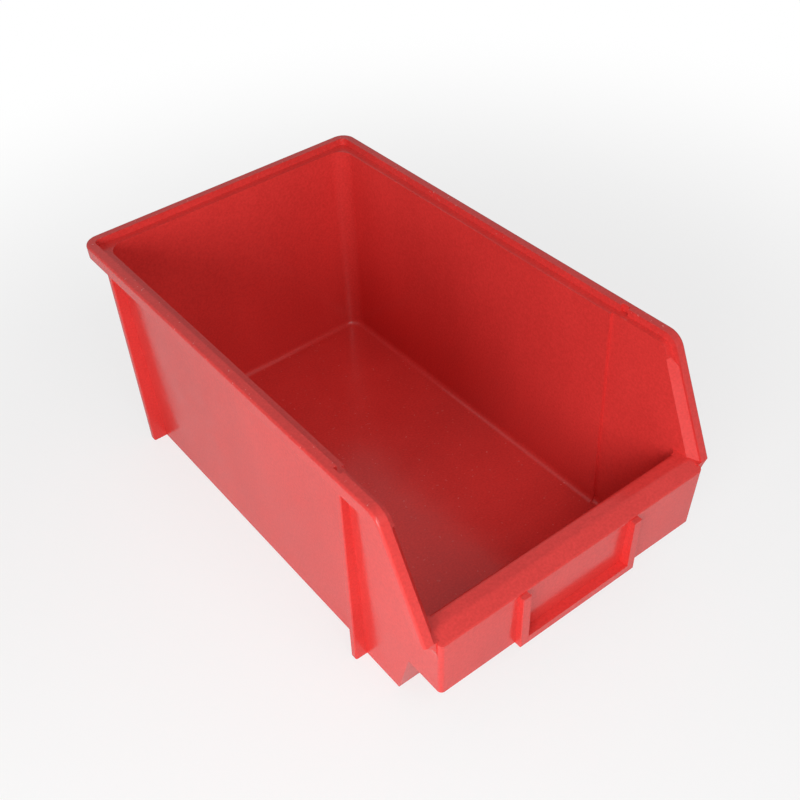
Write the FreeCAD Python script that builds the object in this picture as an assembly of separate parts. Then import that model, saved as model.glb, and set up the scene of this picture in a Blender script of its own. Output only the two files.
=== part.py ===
import FreeCAD, Part
import math
import os

# Stackable storage bin: an open-top bin of red polypropylene with a low, hopper-shaped front.
#
# The real bin is one injection moulding. It is modelled here as its walls, floor, rim, ribs and
# label holder, each a closed solid that meets its neighbours face to face, so that the open
# inside stays open and no two solids share any space.
#
# Frame: X to the right, Y to the rear, Z up. The origin is at the middle of the underside.
# The open front and the label holder face -Y. Everything is in millimetres.

# ---- Overall size ----
overall_width = 205.0            # across the rim
overall_depth = 345.0            # from the rim's rear face to the face of the label holder
overall_height = 152.0           # from the underside to the top of the rim

# ---- Walls and floor ----
wall_thickness = 2.6
floor_thickness = 3.0
wall_draft_run = 1.2             # how much each wall leans outwards over the full height
wall_corner_radius = 13.0        # rear vertical corners, outside, at the top
floor_cove_radius = 4.0          # inside, where the floor turns up into the walls
foot_edge_radius = 1.0           # outside, along the bottom edges

# ---- Stacking rim ----
rim_overhang = 8.9               # from the wall's outer face to the rim's outer face, at the top
rim_corner_radius = 10.0         # rear corners of the rim, outside
rim_bend_radius = 12.0           # where the level rim turns down into the sloping front edges
rim_edge_radius = 1.6            # rounding along the rim's outer top edge
upstand_width = 6.0
upstand_height = 4.5             # the upstand's top stands this far above the ledge
ledge_thickness = 2.6
skirt_thickness = 2.6
skirt_height = 9.0               # level stretch, measured down from the rim's top
skirt_edge_radius = 0.7          # rounding along the skirt's lower outer edge
slope_skirt_top = 4.0            # depth of the skirt behind the sloping edge, at its upper end
slope_skirt_end = 8.0            # and at its lower end
slope_recess = 1.4               # small step beside the sloping upstand, lower stretch
slope_bevel = 48.0               # degrees: from that step the sloping edge falls away to the inside
slope_recess_start = 10.0        # the deep ledge ends this far below the rim's top
slope_recess_end = 16.0          # and has risen to the shallow recess at this drop

# ---- Sloping front edges ----
slope_angle = 25.9               # degrees from the vertical
tip_drop = 1.3                   # from the top of the grip lip down to the sloping edges' lower ends
tip_setback = 6.2                # from the label holder's face back to that lower end
gusset_height = 12.7             # hollow web under each lower end, run out on to the side wall
gusset_length = 8.5              # along Y

# ---- Step in the side walls ----
wall_step = 1.8                  # the side walls stand out by this much in front of the front ribs
step_setback = 2.0               # from the middle of the front rib forward to the step, at the foot
step_lean = 2.7                  # degrees, the step leans to the rear towards the top

# ---- Ribs on the side walls ----
rib_thickness = 4.5
rib_inset = 0.2                  # from the rim's outer face in to the rib's outer face, at the foot
rib_lean = 1.1                   # degrees, inwards towards the top
rib_edge_radius = 0.8
rib_foot_radius = 1.6            # lower outer corner
rear_rib_setback = 26.0          # from the rim's rear face to the middle of the rear rib
rib_spacing = 244.0              # from the middle of the rear rib to the middle of the front rib
notch_length = 5.5               # locating notches in the upstand, above the front ribs
notch_depth = 2.0

# ---- Front ----
base_length_gap = 42.0           # from the label holder's face back to the foot of the front wall
apron_bottom = 39.2              # lower edge of the apron that carries the label holder
apron_lean = 1.7                 # degrees, outwards towards the top
apron_corner_radius = 2.8
hopper_corner_radius = 7.0       # outside, where the sloping front wall meets the side walls
label_depth = 4.5                # label holder's face in front of the apron, at the apron's foot
lip_height = 85.0                # top of the grip lip
lip_width = 17.5                 # front to rear
lip_crease_drop = 3.5            # from the lip's ridge down to the crease at the top of the apron
lip_crease_radius = 1.5
lip_ridge_radius = 5.0           # along the middle of the lip
lip_inner_radius = 3.0
front_cove_radius = 8.0          # inside, where the floor turns up into the front wall
parting_gap = 1.0                # from the floor's side coves in to where floor and walls are parted

# ---- Label holder ----
label_width = 86.0
label_border = 5.5
label_top_gap = 5.0              # from the top of the grip lip down to the holder's upper ends
label_recess = 1.2               # depth of the label's bed in the apron
label_edge_radius = 0.5

# ---- Derived places ----
half_width = overall_width / 2
rear_face = overall_depth / 2
front_face = -overall_depth / 2
margin = 30.0                    # how far cutting tools reach past the bin
tolerance = 0.01                 # for finding faces and edges by place
tip_height = lip_height - tip_drop
slope = math.radians(slope_angle)
tip_y = front_face + tip_setback
foot_y = front_face + base_length_gap
apron_slope = math.tan(math.radians(apron_lean))
apron_foot_y = front_face + label_depth
rear_rib_y = rear_face - rear_rib_setback
front_rib_y = rear_rib_y - rib_spacing
ledge_height = overall_height - upstand_height
ledge_drop = upstand_height + ledge_thickness
crease_height = lip_height - lip_crease_drop
lip_outer_y = apron_foot_y - (crease_height - apron_bottom) * apron_slope
lip_ridge_y = lip_outer_y + lip_width / 2
lip_inner_y = lip_outer_y + lip_width
lip_slope = math.atan2(lip_crease_drop, lip_width / 2)
panel_slope = (foot_y + wall_thickness - lip_inner_y) / (lip_height - floor_thickness)
split_y = rear_face - rim_overhang - wall_draft_run - wall_corner_radius
upstand_x = half_width - upstand_width
cove_x = half_width - rim_overhang - wall_draft_run - wall_thickness - floor_cove_radius
split_x = cove_x - parting_gap


def vec(x, y, z):
    return FreeCAD.Vector(x, y, z)


def rounded_wire(points, place):
    """Closed wire through (a, b, radius) corners; place() turns (a, b) into a 3-D point."""
    arc_list = []
    starts = []
    ends = []
    count = len(points)
    for i in range(count):
        a, b, radius = points[i]
        pa, pb = points[i - 1][0] - a, points[i - 1][1] - b
        na, nb = points[(i + 1) % count][0] - a, points[(i + 1) % count][1] - b
        plen, nlen = math.hypot(pa, pb), math.hypot(na, nb)
        if radius <= 0:
            starts.append((a, b))
            ends.append((a, b))
            continue
        cosine = (pa * na + pb * nb) / (plen * nlen)
        half = math.acos(max(-1.0, min(1.0, cosine))) / 2
        cut = radius / math.tan(half)
        start = (a + pa / plen * cut, b + pb / plen * cut)
        end = (a + na / nlen * cut, b + nb / nlen * cut)
        ba, bb = pa / plen + na / nlen, pb / plen + nb / nlen
        blen = math.hypot(ba, bb)
        reach = radius / math.sin(half) - radius
        middle = (a + ba / blen * reach, b + bb / blen * reach)
        arc_list.append((i, Part.Arc(place(*start), place(*middle), place(*end)).toShape()))
        starts.append(start)
        ends.append(end)
    wire_edges = []
    arcs = dict(arc_list)
    for i in range(count):
        if i in arcs:
            wire_edges.append(arcs[i])
        tail = place(*ends[i])
        head = place(*starts[(i + 1) % count])
        if tail.distanceToPoint(head) > 1e-6:
            wire_edges.append(Part.makeLine(tail, head))
    return Part.Wire(wire_edges)


def side_solid(points, x_from=-half_width - margin, x_to=half_width + margin):
    """Side-view outline of (y, z, radius) corners, drawn out along X."""
    wire = rounded_wire(points, lambda y, z: vec(x_from, y, z))
    return Part.Face(wire).extrude(vec(x_to - x_from, 0, 0))


def block(x0, x1, y0, y1, z0, z1):
    return Part.makeBox(x1 - x0, y1 - y0, z1 - z0, vec(x0, y0, z0))


def step_y(z):
    """The step in the side walls at height z."""
    return front_rib_y - step_setback + z * math.tan(math.radians(step_lean))


def wall_offset(z):
    """How far a drafted wall stands inside its place at the top of the bin."""
    return wall_draft_run * (1 - z / overall_height)


def rear_corners(z, inset):
    """Plan corners of the stretch behind the step, inset from the walls' outer faces."""
    half = half_width - rim_overhang - wall_offset(z) - inset
    rear = rear_face - rim_overhang - wall_offset(z) - inset
    return [vec(-half, step_y(z), z), vec(half, step_y(z), z), vec(half, rear, z), vec(-half, rear, z)]


def front_corners(z, inset, front):
    """Plan corners of the stretch in front of the step, where the side walls stand out."""
    half = half_width - rim_overhang - wall_offset(z) - inset + wall_step
    return [vec(half, step_y(z), z), vec(-half, step_y(z), z), vec(-half, front, z), vec(half, front, z)]


def drafted(low, high, radius=0):
    """Flat-sided solid between two four-cornered outlines. The last two upright corners get the radius."""
    across = Part.Face(Part.makePolygon([low[0], low[1], high[1], high[0], low[0]]))
    reach = math.copysign(overall_depth + margin, low[2].y - low[1].y)
    outline = [(spot.y, spot.z, 0) for spot in (low[1], low[2], high[2], high[1])]
    solid = across.extrude(vec(0, reach, 0)).common(side_solid(outline))
    if not radius:
        return solid

    def is_upright(edge, i):
        ends = [vertex.Point for vertex in edge.Vertexes]
        return all(any(end.distanceToPoint(spot) < tolerance for end in ends) for spot in (low[i], high[i]))

    upright = [edge for edge in solid.Edges if is_upright(edge, 2) or is_upright(edge, 3)]
    return solid.makeFillet(radius, upright)


def edges_at(shape, test):
    """Edges whose two ends and middle all pass the test."""
    found = []
    for edge in shape.Edges:
        first, last = edge.ParameterRange
        spots = [edge.valueAt(first + (last - first) * share) for share in (0.0, 0.5, 1.0)]
        if all(test(spot) for spot in spots):
            found.append(edge)
    return found


def near(a, b):
    return abs(a - b) < tolerance


def bottom_rounded(shape, z, radius, keep_sharp_y):
    """Rounds the bottom edges at height z, apart from those lying in the planes y = keep_sharp_y."""
    def test(spot):
        return near(spot.z, z)

    edges = []
    for edge in edges_at(shape, test):
        flat = [y for y in keep_sharp_y if all(near(v.Point.y, y) for v in edge.Vertexes)]
        if not flat:
            edges.append(edge)
    return shape.makeFillet(radius, edges)


def apron_y(z):
    """The apron's outer face at height z."""
    return apron_foot_y - (z - apron_bottom) * apron_slope


def panel_y(z):
    """The front wall's inner face at height z."""
    return foot_y + wall_thickness - panel_slope * (z - floor_thickness)


def wall_envelope():
    """Everything inside the walls' outer faces, before the side view is cut to shape."""
    top = overall_height
    rear = drafted(rear_corners(0, 0), rear_corners(top, 0), wall_corner_radius)
    low_front = front_corners(0, 0, apron_y(0))
    front = drafted(low_front, front_corners(top, 0, apron_y(top)), apron_corner_radius)
    rear = bottom_rounded(rear, 0, foot_edge_radius, [step_y(0)])
    front = bottom_rounded(front, 0, foot_edge_radius, [step_y(0)])
    return rear.fuse(front)


def inner_space():
    """The room between the inner faces of the side and rear walls, from the floor up."""
    low = floor_thickness
    top = overall_height + margin
    inset = wall_thickness
    ahead = front_face - margin
    rear = drafted(rear_corners(low, inset), rear_corners(top, inset), wall_corner_radius - inset)
    front = drafted(front_corners(low, inset, ahead), front_corners(top, inset, ahead))
    rear = bottom_rounded(rear, low, floor_cove_radius, [step_y(low)])
    front = bottom_rounded(front, low, floor_cove_radius, [step_y(low), ahead])
    return rear.fuse(front)


def hopper_corner(side, inset, radius, low, high):
    """What a rounded corner leaves out, where the sloping front wall meets a side wall."""
    half = half_width - rim_overhang + wall_step - wall_offset(low) - inset
    front = panel_y(low) - (wall_thickness - inset) * math.hypot(1, panel_slope)
    x, y = side * half, front
    turn = radius * (1 - math.sqrt(0.5))
    curve = Part.Arc(vec(x - side * radius, y, low), vec(x - side * turn, y + turn, low),
                     vec(x, y + radius, low)).toShape()
    past = vec(x + side * margin, y + radius, low)
    tip = vec(x + side * margin, y - margin, low)
    back = vec(x - side * radius, y - margin, low)
    lines = [Part.makeLine(a, b) for a, b in zip((curve.valueAt(curve.LastParameter), past, tip, back),
                                                 (past, tip, back, curve.valueAt(curve.FirstParameter)))]
    rise = high - low
    run = vec(side * wall_draft_run / overall_height * rise, -panel_slope * rise, rise)
    return Part.Face(Part.Wire([curve] + lines)).extrude(run)


def slope_point(drop, z):
    """Point at height z on the line that lies the given drop behind the sloping front edge."""
    return tip_y + drop / math.cos(slope) + (z - tip_height) * math.tan(slope)


def rim_band(drop):
    """Side-view corners of a line that runs the given drop below the rim's top, rear to front."""
    z = overall_height - drop
    return [(rear_face + margin, z, 0),
            (slope_point(drop, z), z, rim_bend_radius - drop),
            (slope_point(drop, tip_height), tip_height, 0)]


def slope_place(x, drop, along):
    """Point the given drop below the sloping front edge and this far up it from its lower end."""
    return vec(x, tip_y + drop * math.cos(slope) + along * math.sin(slope),
               tip_height - drop * math.sin(slope) + along * math.cos(slope))


def slope_bevel_room(side):
    """Room over the bevelled face inside a sloping upstand."""
    deep = slope_recess + rim_overhang * math.tan(math.radians(slope_bevel))
    far = upstand_x - rim_overhang
    length = (overall_height - slope_recess_start - tip_height) / math.cos(slope)
    outline = [(upstand_x, -margin), (upstand_x, slope_recess), (far, deep), (far, -margin)]
    corners = [slope_place(side * x, drop, -margin) for x, drop in outline]
    run = slope_place(0, 0, length) - slope_place(0, 0, -margin)
    return Part.Face(Part.makePolygon(corners + corners[:1])).extrude(run)


def rim_plan(inset):
    """Everything inside the rim's outer face in plan, less the inset, open to the front."""
    half = half_width - inset
    rear = rear_face - inset
    radius = rim_corner_radius - inset
    front = front_face - margin
    corners = [(-half, front, 0), (half, front, 0), (half, rear, radius), (-half, rear, radius)]
    wire = rounded_wire(corners, lambda x, y: vec(x, y, 0))
    return Part.Face(wire).extrude(vec(0, 0, overall_height + margin))


def on_rim_top(spot):
    """True for a point on the rim's top line, seen from the side, its bend included."""
    level = overall_height - spot.z
    sloping = ((spot.y - tip_y) - (spot.z - tip_height) * math.tan(slope)) * math.cos(slope)
    half_turn = (math.pi / 2 - slope) / 2
    bow = rim_bend_radius * (1 - math.cos(half_turn))
    return min(level, sloping) < bow + tolerance


def on_rim_face(spot):
    """True for a point on the rim's outer face."""
    past_x = abs(spot.x) - (half_width - rim_corner_radius)
    past_y = spot.y - (rear_face - rim_corner_radius)
    if past_x > 0 and past_y > 0:
        return near(math.hypot(past_x, past_y), rim_corner_radius)
    return near(abs(spot.x), half_width) or near(spot.y, rear_face)


def rim_envelope():
    """Solid under the rim's top line, with its outer top edge rounded."""
    deep = 2 * skirt_height
    low = [(slope_point(deep, tip_height), tip_height, 0),
           (slope_point(deep, overall_height - deep), overall_height - deep, 0),
           (rear_face + margin, overall_height - deep, 0)]
    solid = rim_plan(0).common(side_solid(rim_band(0) + low))

    def on_outer_top(spot):
        return on_rim_face(spot) and on_rim_top(spot)

    return solid.makeFillet(rim_edge_radius, edges_at(solid, on_outer_top))


def whole_rim(space):
    """Skirt, upstand and ledge round the rear and both sides, down to the tips of the front edges."""
    far = rear_face + margin
    skirt_z = overall_height - skirt_height
    skirt_low = [(slope_point(slope_skirt_end, tip_height), tip_height, 0),
                 (slope_point(slope_skirt_top, skirt_z), skirt_z, 0),
                 (far, skirt_z, 0)]
    skirt = side_solid(rim_band(0) + skirt_low).cut(rim_plan(skirt_thickness)).common(rim_envelope())

    def on_foot(spot):
        share = (spot.z - tip_height) / (skirt_z - tip_height)
        foot = slope_skirt_end + (slope_skirt_top - slope_skirt_end) * share
        on_line = near(spot.z, skirt_z) or near(spot.y, slope_point(foot, spot.z))
        return on_line and on_rim_face(spot)

    skirt = skirt.makeFillet(skirt_edge_radius, edges_at(skirt, on_foot))

    ledge_low = list(reversed(rim_band(ledge_drop)))
    upstand = side_solid(rim_band(0) + ledge_low).cut(rim_plan(upstand_width))

    recess_z = overall_height - slope_recess_start
    shallow_z = overall_height - slope_recess_end
    ledge_top = [(far, ledge_height, 0),
                 (slope_point(upstand_height, ledge_height), ledge_height, rim_bend_radius - upstand_height),
                 (slope_point(upstand_height, recess_z), recess_z, 0),
                 (slope_point(slope_recess, shallow_z), shallow_z, 0),
                 (slope_point(slope_recess, tip_height), tip_height, 0)]
    ledge = side_solid(ledge_top + ledge_low)

    rim = skirt.fuse([upstand, ledge]).common(rim_envelope()).cut(space)
    for side in (-1, 1):
        x0, x1 = sorted((side * (upstand_x - notch_depth), side * (upstand_x + notch_depth)))
        y0 = front_rib_y - notch_length / 2
        rim = rim.cut(block(x0, x1, y0, y0 + notch_length, ledge_height, overall_height + margin))
        rim = rim.cut(slope_bevel_room(side))
    return rim.removeSplitter()


def gusset(side):
    """Hollow-cornered web under a sloping edge's lower end, run out on to the side wall."""
    wall = half_width - rim_overhang + wall_step - wall_offset(tip_height)
    reach = half_width - rim_edge_radius - wall
    radius = (reach ** 2 + gusset_height ** 2) / (2 * reach)
    half_turn = math.asin(gusset_height / radius) / 2
    y0 = slope_point(0, tip_height)
    low = tip_height - gusset_height
    root = side * (wall - wall_thickness / 2)
    face = side * wall
    far = side * (wall + reach)
    middle = vec(side * (wall + radius * (1 - math.cos(half_turn))), y0, low + radius * math.sin(half_turn))
    curve = Part.Arc(vec(far, y0, tip_height), middle, vec(face, y0, low)).toShape()
    corners = [vec(face, y0, low), vec(root, y0, low), vec(root, y0, tip_height), vec(far, y0, tip_height)]
    lines = [Part.makeLine(corners[i], corners[i + 1]) for i in range(3)]
    return Part.Face(Part.Wire([curve] + lines)).extrude(vec(0, gusset_length, 0))


def wall_side_view():
    """Side view of the walls: flat base, raised apron, grip lip, and the line under the rim."""
    panel_back = math.hypot(1, panel_slope) * wall_thickness
    under_y = panel_y(apron_bottom) - panel_back
    ledge_z = overall_height - ledge_drop
    return [(rear_face + margin, 0, 0),
            (panel_y(0) - panel_back, 0, foot_edge_radius),
            (under_y, apron_bottom, wall_thickness / 2),
            (apron_y(apron_bottom), apron_bottom, 0),
            (lip_outer_y, crease_height, lip_crease_radius),
            (lip_ridge_y, lip_height, lip_ridge_radius),
            (slope_point(ledge_drop, lip_height), lip_height, 0),
            (slope_point(ledge_drop, ledge_z), ledge_z, rim_bend_radius - ledge_drop),
            (rear_face + margin, ledge_z, 0)]


def hopper_side_view():
    """Side view of the open inside, from the floor up the sloping front wall and over the lip."""
    top = overall_height + margin
    ahead = front_face - margin
    return [(rear_face + margin, floor_thickness, 0),
            (panel_y(floor_thickness), floor_thickness, front_cove_radius),
            (panel_y(lip_height), lip_height, lip_inner_radius),
            (ahead, lip_height, 0),
            (ahead, top, 0),
            (rear_face + margin, top, 0)]


def apron_hollow():
    """The room behind the apron, open underneath, between the side walls."""
    panel_back = math.hypot(1, panel_slope) * wall_thickness
    ceiling = lip_height - wall_thickness
    low = apron_bottom - margin
    front_ceiling = crease_height - wall_thickness * (1 / math.cos(lip_slope) - math.tan(lip_slope))
    return [(panel_y(low) - panel_back, low, 0),
            (panel_y(ceiling) - panel_back, ceiling, wall_thickness),
            (lip_ridge_y + wall_thickness * math.tan(lip_slope / 2), ceiling, 0),
            (apron_y(front_ceiling) + wall_thickness, front_ceiling, 0),
            (apron_y(low) + wall_thickness, low, 0)]


def hollow_width():
    """Room between the side walls' inner faces in front of the front ribs, full height."""
    ahead = front_face - margin
    low = front_corners(-margin, wall_thickness, ahead)
    high = front_corners(overall_height, wall_thickness, ahead)
    return drafted(low, high)


def label_bed():
    """Shallow bed for the label, cut into the apron's outer face."""
    half = label_width / 2 - label_border
    bed_low = apron_bottom + label_border
    bed_high = lip_height - label_top_gap
    return side_solid([(apron_y(bed_low) - margin, bed_low, 0),
                       (apron_y(bed_low) + label_recess, bed_low, 0),
                       (apron_y(bed_high) + label_recess, bed_high, 0),
                       (apron_y(bed_high) - margin, bed_high, 0)], -half, half)


def label_frame(envelope):
    """U-shaped label holder, open at the top, standing on the apron."""
    high = lip_height - label_top_gap
    half = label_width / 2
    frame = block(-half, half, front_face, apron_foot_y + wall_thickness / 2, apron_bottom, high)

    def on_face_edge(spot):
        return near(spot.y, front_face)

    frame = frame.makeFillet(label_edge_radius, edges_at(frame, on_face_edge))
    window = block(label_border - half, half - label_border, front_face - margin, apron_foot_y + margin,
                   apron_bottom + label_border, high + margin)
    return frame.cut(window).cut(envelope)


def rib_x(z):
    """A rib's outer face at height z."""
    return half_width - rib_inset - z * math.tan(math.radians(rib_lean))


def rib(side, middle_y, envelope, rim):
    """Upright rib between a side wall's outer face and the underside of the rim."""
    inner = half_width - rim_overhang - wall_draft_run - wall_thickness / 2
    top = overall_height - ledge_drop
    y0 = middle_y - rib_thickness / 2
    outline = [(inner, 0), (rib_x(0), 0), (rib_x(top), top), (inner, top), (inner, 0)]
    across = Part.Face(Part.makePolygon([vec(side * x, y0, z) for x, z in outline]))
    solid = across.extrude(vec(0, rib_thickness, 0))

    def on_foot(spot):
        return near(abs(spot.x), rib_x(0)) and near(spot.z, 0)

    def on_outer_edge(spot):
        on_face = near(spot.y, y0) or near(spot.y, y0 + rib_thickness)
        below_rim = spot.z < top - tolerance
        return on_face and below_rim and abs(spot.x) > rib_x(spot.z) - 2 * rib_foot_radius

    solid = solid.makeFillet(rib_foot_radius, edges_at(solid, on_foot))
    solid = solid.makeFillet(rib_edge_radius, edges_at(solid, on_outer_edge))
    return solid.cut(envelope).cut(rim)


def zones():
    """Three boxes that part the bin from above: its rear, its left and its right."""
    x, y, z = half_width + margin, rear_face + margin, overall_height + margin
    front = front_face - margin
    return {"rear": block(-x, x, split_y, y, -margin, z),
            "left": block(-x, 0, front, split_y, -margin, z),
            "right": block(0, x, front, split_y, -margin, z)}


def part_walls(walls):
    """Floor, walls and front, parted where they meet."""
    zone = zones()
    x, z = half_width + margin, overall_height + margin
    front = front_face - margin
    toe_y = panel_y(floor_thickness) + front_cove_radius
    shoulder = crease_height - wall_thickness
    hollow_y = (apron_foot_y + lip_inner_y) / 2
    front_room = hollow_width().common(block(-x, x, front, toe_y, -margin, z))
    middle = block(-split_x, split_x, toe_y, split_y, -margin, z)
    sides = walls.cut(front_room).cut(middle)
    front_walls = walls.common(front_room)
    return {
        "floor_panel": walls.common(middle),
        "rear_wall": walls.common(zone["rear"]),
        "left_side_wall": sides.common(zone["left"]),
        "right_side_wall": sides.common(zone["right"]),
        "front_wall": front_walls.common(block(-x, x, hollow_y, toe_y, -margin, shoulder)),
        "front_apron": front_walls.common(block(-x, x, front, hollow_y, -margin, shoulder)),
        "front_grip_lip": front_walls.common(block(-x, x, front, toe_y, shoulder, z)),
    }


def part_rim(rim, walls):
    """Rims and ledges. Each side rim carries the gusset under its lower end."""
    inner = rim_plan(upstand_width)
    parts = {}
    for place, zone in zones().items():
        parts[place + "_ledge"] = rim.common(inner).common(zone)
        parts[place + "_rim"] = rim.cut(inner).common(zone)
    for side, hand in ((-1, "left"), (1, "right")):
        web = gusset(side).cut(walls).cut(rim)
        parts[hand + "_rim"] = parts[hand + "_rim"].fuse(web.cut(inner)).removeSplitter()
        parts[hand + "_ledge"] = parts[hand + "_ledge"].fuse(web.common(inner)).removeSplitter()
    return parts


def build():
    """All the bin's solids, by name."""
    space = inner_space()
    envelope = wall_envelope()
    rim = whole_rim(space)
    hollow = hollow_width().common(side_solid(apron_hollow()))
    inside = space.common(side_solid(hopper_side_view()))
    walls = envelope.common(side_solid(wall_side_view()))
    for side in (-1, 1):
        inner_radius = hopper_corner_radius - wall_thickness
        walls = walls.cut(hopper_corner(side, 0, hopper_corner_radius, 0, apron_bottom))
        inside = inside.cut(hopper_corner(side, wall_thickness, inner_radius, floor_thickness, lip_height))
    for cutter in (inside, hollow, label_bed(), rim):
        walls = walls.cut(cutter)

    parts = part_walls(walls)
    parts.update(part_rim(rim, walls))
    for side, hand in ((-1, "left"), (1, "right")):
        parts[hand + "_rear_rib"] = rib(side, rear_rib_y, envelope, rim)
        parts[hand + "_front_rib"] = rib(side, front_rib_y, envelope, rim)
    parts["label_holder"] = label_frame(envelope)
    return parts


os.makedirs("parts", exist_ok=True)
for name, shape in build().items():
    if len(shape.Solids) != 1 or not shape.isValid():
        print("%s: %d solids, valid %s" % (name, len(shape.Solids), shape.isValid()))
    shape.Solids[0].exportStep("parts/%s.step" % name)
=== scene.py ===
import logging
import math
from dataclasses import dataclass, field
from enum import Enum

import bpy
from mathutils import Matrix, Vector


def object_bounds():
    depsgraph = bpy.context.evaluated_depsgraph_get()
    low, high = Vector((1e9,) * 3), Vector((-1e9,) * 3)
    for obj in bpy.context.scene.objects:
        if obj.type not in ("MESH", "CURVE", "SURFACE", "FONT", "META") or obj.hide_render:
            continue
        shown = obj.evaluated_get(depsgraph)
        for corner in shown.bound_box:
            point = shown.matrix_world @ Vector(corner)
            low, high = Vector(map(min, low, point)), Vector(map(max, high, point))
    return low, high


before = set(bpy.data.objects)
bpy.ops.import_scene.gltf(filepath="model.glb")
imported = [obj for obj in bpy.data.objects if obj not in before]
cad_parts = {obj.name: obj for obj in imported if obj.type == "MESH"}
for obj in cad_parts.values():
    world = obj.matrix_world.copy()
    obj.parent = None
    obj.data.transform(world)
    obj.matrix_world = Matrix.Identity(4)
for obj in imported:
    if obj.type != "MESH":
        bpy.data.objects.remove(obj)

log = logging.getLogger("storage_bin")

Socket = bpy.types.NodeSocket
Color = tuple[float, float, float, float]
Triple = tuple[float, float, float]
Pair = tuple[float, float]
Value = Socket | float
Tint = Socket | Color

CAD_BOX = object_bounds()
WHITE: Color = (1.0, 1.0, 1.0, 1.0)


class Ray(Enum):
    """Kinds of ray that the paper and the sky answer with some plain white."""

    CAMERA = "Is Camera Ray"
    GLOSSY = "Is Glossy Ray"
    TRANSMISSION = "Is Transmission Ray"


@dataclass(frozen=True)
class Noise:
    """Cloudy pattern: cells to a metre, finer layers, and how fast it changes along each axis."""

    scale: float
    detail: float
    stretch: Triple = (1.0, 1.0, 1.0)


class Graph:
    """Adds and joins the nodes of a material or of the sky."""

    def __init__(self, owner: bpy.types.ID) -> None:
        """Opens the owner's nodes.

        Args:
            owner: The material or world that the nodes belong to.
        """
        owner.use_nodes = True
        self.nodes = owner.node_tree.nodes
        self.links = owner.node_tree.links

    def add(self, kind: str, **settings: object) -> bpy.types.Node:
        """Adds a node.

        Args:
            kind: Blender's name of the node type.
            settings: Properties of the node, by name.

        Returns:
            The new node.
        """
        node = self.nodes.new(kind)
        for name, value in settings.items():
            setattr(node, name, value)
        return node

    def join(self, start: Socket, end: Socket) -> None:
        """Links an output to an input."""
        self.links.new(start, end)

    def feed(self, socket: Socket, value: Value | Color) -> None:
        """Sets an input to a constant, or links an output to it.

        Args:
            socket: The input.
            value: A number or a colour to set, or an output to link.
        """
        if isinstance(value, (int, float, tuple)):
            socket.default_value = value
        else:
            self.join(value, socket)

    def math(self, operation: str, *terms: Value) -> Socket:
        """Adds a sum of numbers and outputs.

        Args:
            operation: The kind of sum.
            terms: Its terms in order, each a number or an output.

        Returns:
            The output that holds the result.
        """
        node = self.add("ShaderNodeMath", operation=operation)
        for socket, term in zip(node.inputs, terms):
            self.feed(socket, term)
        return node.outputs[0]

    def place(self) -> Socket:
        """Gives the place on the object, in metres."""
        return self.add("ShaderNodeTexCoord").outputs["Object"]

    def noise(self, pattern: Noise) -> Socket:
        """Adds noise fixed to the object, so that it runs on from piece to piece.

        Args:
            pattern: Its scale, detail and stretch.

        Returns:
            The noise's output, about 0.5 on average.
        """
        mapping = self.add("ShaderNodeMapping")
        mapping.inputs["Scale"].default_value = pattern.stretch
        node = self.add("ShaderNodeTexNoise")
        node.inputs["Scale"].default_value = pattern.scale
        node.inputs["Detail"].default_value = pattern.detail
        self.join(self.place(), mapping.inputs["Vector"])
        self.join(mapping.outputs["Vector"], node.inputs["Vector"])
        return node.outputs["Fac"]

    def band(self, value: Socket, low: Pair, high: Pair) -> Socket:
        """Maps a value softly from one range to another, held at its ends.

        Args:
            value: The output to map.
            low: The value at the low end, and what it becomes.
            high: The value at the high end, and what it becomes.

        Returns:
            The mapped output.
        """
        node = self.add("ShaderNodeMapRange", interpolation_type="SMOOTHSTEP")
        node.inputs["From Min"].default_value, node.inputs["To Min"].default_value = low
        node.inputs["From Max"].default_value, node.inputs["To Max"].default_value = high
        self.join(value, node.inputs["Value"])
        return node.outputs["Result"]

    def blend(self, share: Socket, first: Tint, second: Tint) -> Socket:
        """Blends two colours.

        Args:
            share: How much of the second colour there is, from 0 to 1.
            first: A colour, or an output that gives one.
            second: A colour, or an output that gives one.

        Returns:
            The blended colour's output.
        """
        node = self.add("ShaderNodeMix", data_type="RGBA")
        self.join(share, node.inputs["Factor"])
        color_a, color_b = (socket for socket in node.inputs if socket.type == "RGBA")
        self.feed(color_a, first)
        self.feed(color_b, second)
        return next(socket for socket in node.outputs if socket.type == "RGBA")

    def bump(
        self, height: Socket, depth: float, strength: float, below: Socket | None = None,
    ) -> Socket:
        """Adds a bump.

        Args:
            height: The output that gives the height, from 0 to 1.
            depth: Height in metres where that output is 1.
            strength: How much of it shows.
            below: The normal that it lies on, if it isn't the surface's own.

        Returns:
            The bumped normal's output.
        """
        node = self.add("ShaderNodeBump")
        node.inputs["Distance"].default_value = depth
        node.inputs["Strength"].default_value = strength
        self.join(height, node.inputs["Height"])
        if below is not None:
            self.join(below, node.inputs["Normal"])
        return node.outputs["Normal"]

    def whitened(self, lit: Socket, white: Socket, direct: Value, mirrored: float) -> Socket:
        """Mixes plain white into a shader, for the camera and in mirrored images.

        Args:
            lit: The shader that answers all other rays.
            white: The shader that gives plain white.
            direct: How much of it the camera sees, from 0 to 1.
            mirrored: How much of it gloss and glass show, from 0 to 1.

        Returns:
            The mixed shader's output.
        """
        rays = self.add("ShaderNodeLightPath").outputs
        bounced = self.math("MAXIMUM", rays[Ray.GLOSSY.value], rays[Ray.TRANSMISSION.value])
        bounced = self.math("MULTIPLY", bounced, mirrored)
        mix = self.add("ShaderNodeMixShader")
        self.join(self.math("MULTIPLY_ADD", rays[Ray.CAMERA.value], direct, bounced), mix.inputs[0])
        self.join(lit, mix.inputs[1])
        self.join(white, mix.inputs[2])
        return mix.outputs[0]


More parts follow.
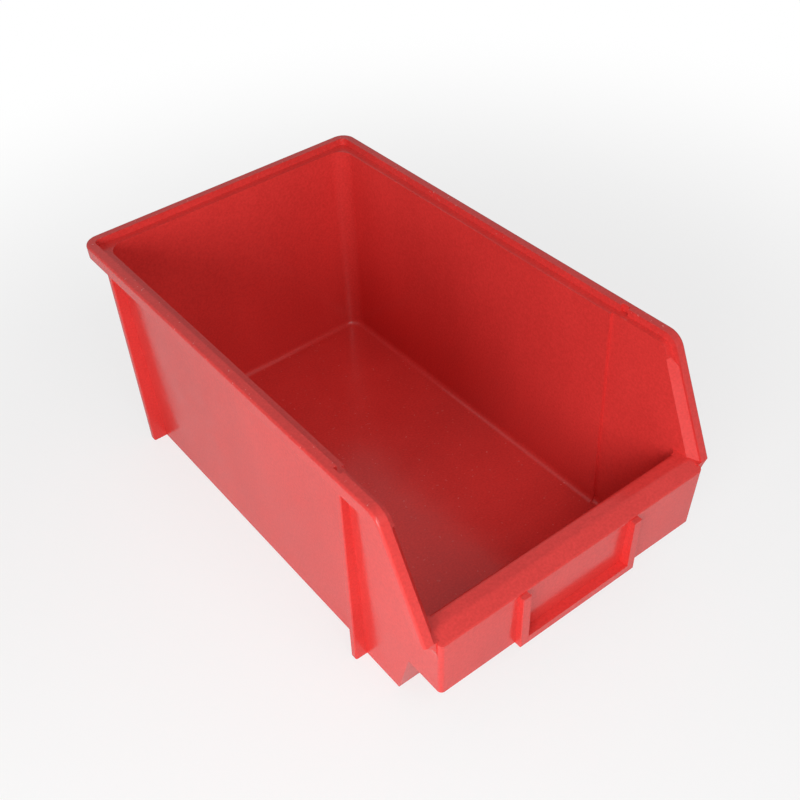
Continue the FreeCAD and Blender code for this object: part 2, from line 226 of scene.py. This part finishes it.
@dataclass(frozen=True)
class MouldedPlastic:
    """Satin polypropylene, coloured through, as it leaves the mould."""

    name: str = "red_polypropylene"
    deep: Color = (0.66, 0.038, 0.034, 1.0)
    light: Color = (0.86, 0.060, 0.054, 1.0)
    scuff: Color = (0.86, 0.30, 0.28, 1.0)
    ior: float = 1.5
    smooth: float = 0.14
    dull: float = 0.26
    low_noise: float = 0.2
    high_noise: float = 0.8
    clouds: Noise = Noise(11.0, 2.0)
    cloud_part: float = 0.3
    streaks: Noise = Noise(30.0, 3.0, (1.0, 1.0, 0.25))
    streak_part: float = 0.25
    flecks: Noise = Noise(700.0, 1.0)
    fleck_part: float = 0.45
    patches: Noise = Noise(60.0, 4.0)
    warp: Noise = Noise(14.0, 1.0)
    warp_depth: float = 0.0006
    warp_strength: float = 1.0
    grain: Noise = Noise(1500.0, 2.0)
    grain_depth: float = 0.00006
    grain_strength: float = 0.3
    scuffs: Noise = Noise(420.0, 2.0)
    scuff_start: float = 0.68
    scuff_level: float = 0.74
    scuff_cover: float = 0.5
    scuff_band: float = 0.006

    def build(self) -> bpy.types.Material:
        """Makes the plastic: clouded colour, uneven gloss, grain and small scuffs.

        Returns:
            The finished material.
        """
        material = bpy.data.materials.new(self.name)
        graph = Graph(material)
        inputs = graph.nodes["Principled BSDF"].inputs
        inputs["IOR"].default_value = self.ior
        wear = self.wear(graph)
        graph.join(self.colour(graph, wear), inputs["Base Color"])
        graph.join(self.gloss(graph, wear), inputs["Roughness"])
        graph.join(self.relief(graph), inputs["Normal"])
        return material

    def colour(self, graph: Graph, wear: Socket) -> Socket:
        """Clouds and flecks the red, in streaks down the walls, paler where it is scuffed.

        Args:
            graph: The material's nodes.
            wear: Where the plastic is scuffed.

        Returns:
            The colour's output.
        """
        tone = 0.0
        for pattern, part in (
            (self.clouds, self.cloud_part),
            (self.streaks, self.streak_part),
            (self.flecks, self.fleck_part),
        ):
            tone = graph.math("MULTIPLY_ADD", graph.noise(pattern), part, tone)
        share = graph.band(tone, (self.low_noise, 0.0), (self.high_noise, 1.0))
        return graph.blend(wear, graph.blend(share, self.deep, self.light), self.scuff)

    def gloss(self, graph: Graph, wear: Socket) -> Socket:
        """Lets the gloss vary in patches, and dulls it where it is scuffed.

        Args:
            graph: The material's nodes.
            wear: Where the plastic is scuffed.

        Returns:
            The roughness output.
        """
        noise = graph.noise(self.patches)
        patch = graph.band(noise, (self.low_noise, self.smooth), (self.high_noise, self.dull))
        return graph.math("MULTIPLY_ADD", wear, self.dull, patch)

    def relief(self, graph: Graph) -> Socket:
        """Gives the walls the slow waviness and the fine grain of a moulding.

        Args:
            graph: The material's nodes.

        Returns:
            The bumped normal's output.
        """
        warped = graph.bump(graph.noise(self.warp), self.warp_depth, self.warp_strength)
        return graph.bump(graph.noise(self.grain), self.grain_depth, self.grain_strength, warped)

    def wear(self, graph: Graph) -> Socket:
        """Finds the small scuffs on the rim's top, the foot and the floor.

        Args:
            graph: The material's nodes.

        Returns:
            An output that is above 0 in a scuff and 0 elsewhere.
        """
        low, high = CAD_BOX[0][2], CAD_BOX[1][2]
        split = graph.add("ShaderNodeSeparateXYZ")
        graph.join(graph.place(), split.inputs[0])
        foot = graph.band(split.outputs["Z"], (low, 1.0), (low + self.scuff_band, 0.0))
        rim = graph.band(split.outputs["Z"], (high - self.scuff_band, 0.0), (high, 1.0))
        noise = graph.noise(self.scuffs)
        speck = graph.band(noise, (self.scuff_start, 0.0), (self.scuff_level, self.scuff_cover))
        return graph.math("MULTIPLY", graph.math("MAXIMUM", foot, rim), speck)


@dataclass(frozen=True)
class Paper:
    """White paper of the floor and the backdrop."""

    name: str = "white_paper"
    color: Color = (0.9, 0.9, 0.9, 1.0)
    roughness: float = 0.9
    near: float = 0.25
    near_white: float = 0.72
    far: float = 0.75
    far_white: float = 1.0
    mirrored_white: float = 0.2

    def build(self) -> bpy.types.Material:
        """Makes paper that is white all round and keeps the shadow close to the bin.

        Returns:
            The finished material.
        """
        material = bpy.data.materials.new(self.name)
        graph = Graph(material)
        shader = graph.nodes["Principled BSDF"]
        shader.inputs["Base Color"].default_value = self.color
        shader.inputs["Roughness"].default_value = self.roughness
        shader.inputs["Specular IOR Level"].default_value = 0.0
        white = graph.add("ShaderNodeEmission")
        white.inputs["Strength"].default_value = 1.0
        radius = graph.add("ShaderNodeVectorMath", operation="LENGTH")
        graph.join(graph.place(), radius.inputs[0])
        near, far = (self.near, self.near_white), (self.far, self.far_white)
        direct = graph.band(radius.outputs["Value"], near, far)
        surface = graph.whitened(shader.outputs[0], white.outputs[0], direct, self.mirrored_white)
        graph.join(surface, graph.nodes["Material Output"].inputs["Surface"])
        return material


@dataclass(frozen=True)
class SoftLamp:
    """A square lamp with a diffuser, aimed at the middle of the bin."""

    name: str
    place: Triple
    size: float
    power: float
    aim: Triple = (0.0, 0.0, 0.07)

    def hang(self) -> None:
        """Hangs the lamp in the scene, out of the camera's sight."""
        data = bpy.data.lights.new(self.name, "AREA")
        data.energy = self.power
        data.size = self.size
        lamp = bpy.data.objects.new(self.name, data)
        direction = Vector(self.aim) - Vector(self.place)
        lamp.location = self.place
        lamp.rotation_euler = direction.to_track_quat("-Z", "Y").to_euler()
        lamp.visible_camera = False
        bpy.context.scene.collection.objects.link(lamp)


@dataclass
class Studio:
    """Camera, paper sweep, sky and soft lamps."""

    eye: Triple = (-0.27397, -0.39387, 0.49294)
    turn: Triple = (43.3375, 3.2259, -37.2889)
    lens: float = 45.85
    shift: Pair = (0.0251, 0.1245)
    nearest: float = 0.01
    floor_radius: float = 3.0
    wall_height: float = 1.2
    segments: int = 96
    sky: float = 0.32
    paper: Paper = field(default_factory=Paper)
    lamps: tuple[SoftLamp, ...] = (
        SoftLamp("key", (-0.73, -0.52, 0.38), 0.4, 5.0),
        SoftLamp("front_fill", (-0.10, -0.67, 0.76), 0.4, 2.0),
    )

    def build(self) -> None:
        """Sets up the view, the camera, the paper and the lights."""
        bpy.context.scene.view_settings.view_transform = "Standard"
        self.set_camera()
        self.lay_paper()
        self.light_sky()
        for lamp in self.lamps:
            lamp.hang()
            log.info("hung %s", lamp.name)

    def set_camera(self) -> None:
        """Puts the camera where the bin is seen from above its front left corner."""
        data = bpy.data.cameras.new("camera")
        data.lens = self.lens
        data.shift_x, data.shift_y = self.shift
        data.clip_start = self.nearest
        camera = bpy.data.objects.new("camera", data)
        camera.location = self.eye
        camera.rotation_euler = [math.radians(angle) for angle in self.turn]
        bpy.context.scene.collection.objects.link(camera)
        bpy.context.scene.camera = camera

    def lay_paper(self) -> None:
        """Lays the floor and its upright edge all round."""
        low = CAD_BOX[0][2]
        count = self.segments
        angles = [2 * math.pi * i / count for i in range(count)]
        points = [
            (self.floor_radius * math.cos(angle), self.floor_radius * math.sin(angle), height)
            for height in (low, low + self.wall_height)
            for angle in angles
        ]
        faces = [tuple(range(count))]
        faces += [(i, (i + 1) % count, (i + 1) % count + count, i + count) for i in range(count)]
        mesh = bpy.data.meshes.new("paper")
        mesh.from_pydata(points, [], faces)
        mesh.materials.append(self.paper.build())
        paper = bpy.data.objects.new("paper", mesh)
        bpy.context.scene.collection.objects.link(paper)

    def light_sky(self) -> None:
        """Gives the room an even dim light that shows as white, as the paper does."""
        world = bpy.data.worlds.new("sky")
        graph = Graph(world)
        dim = graph.nodes["Background"]
        white = graph.add("ShaderNodeBackground")
        for shader, strength in ((dim, self.sky), (white, 1.0)):
            shader.inputs["Color"].default_value = WHITE
            shader.inputs["Strength"].default_value = strength
        surface = graph.whitened(dim.outputs[0], white.outputs[0], 1.0, self.paper.mirrored_white)
        graph.join(surface, graph.nodes["World Output"].inputs["Surface"])
        bpy.context.scene.world = world


@dataclass
class SubAssembly:
    """Nodes of the moulding that belong together."""

    nodes: tuple[str, ...] = ()

    def dress(self, material: bpy.types.Material) -> None:
        """Gives the finish to each of its nodes.

        Args:
            material: The finish.
        """
        for name in self.nodes:
            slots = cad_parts[name].data.materials
            slots.clear()
            slots.append(material)
            log.info("dressed %s of the %s", name, type(self).__name__)


@dataclass
class Tub(SubAssembly):
    """Floor, rear wall and side walls."""

    nodes: tuple[str, ...] = ("floor_panel", "rear_wall", "left_side_wall", "right_side_wall")


@dataclass
class Front(SubAssembly):
    """Sloping inner wall, apron with its label holder, and the grip lip over both."""

    nodes: tuple[str, ...] = ("front_wall", "front_apron", "front_grip_lip", "label_holder")


@dataclass
class StackingRim(SubAssembly):
    """Upstand and skirt, and the ledge that takes the next bin."""

    nodes: tuple[str, ...] = (
        "rear_rim", "left_rim", "right_rim", "rear_ledge", "left_ledge", "right_ledge",
    )


@dataclass
class Ribs(SubAssembly):
    """Upright ribs under the rim."""

    nodes: tuple[str, ...] = (
        "left_rear_rib", "right_rear_rib", "left_front_rib", "right_front_rib",
    )


def main() -> None:
    """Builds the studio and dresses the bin's sub-assemblies."""
    logging.basicConfig(level=logging.INFO)
    Studio().build()
    material = MouldedPlastic().build()
    for part in (Tub(), Front(), StackingRim(), Ribs()):
        part.dress(material)


if __name__ == "__main__":
    main()
